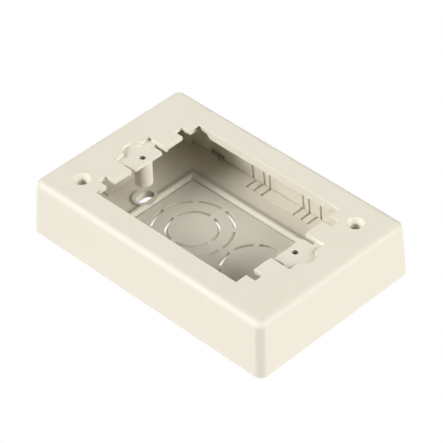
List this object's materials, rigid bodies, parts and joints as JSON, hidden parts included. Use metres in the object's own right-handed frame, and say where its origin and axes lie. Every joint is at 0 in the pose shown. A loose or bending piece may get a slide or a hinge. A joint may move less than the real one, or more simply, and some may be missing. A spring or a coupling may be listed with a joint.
{
  "type": "extension outlet box",
  "caption": "Low surface-mount outlet box in ivory plastic: a drafted cover with a castellated opening over a clipped-in base plate with knock-outs and raceway breakouts.",
  "frame": {"origin": "centre of the underside, in the plane that meets the wall or surface", "axes": "+X along the length of the box, +Y across its width, +Z from the mounting face out of the opening"},
  "size_m": [0.127, 0.0838, 0.0254],
  "materials": {
    "ivory_plastic": "fine satin moulded ivory plastic"
  },
  "bodies": {
    "root": {"cover": "ivory_plastic", "base": "ivory_plastic"}
  },
  "joints": []
}
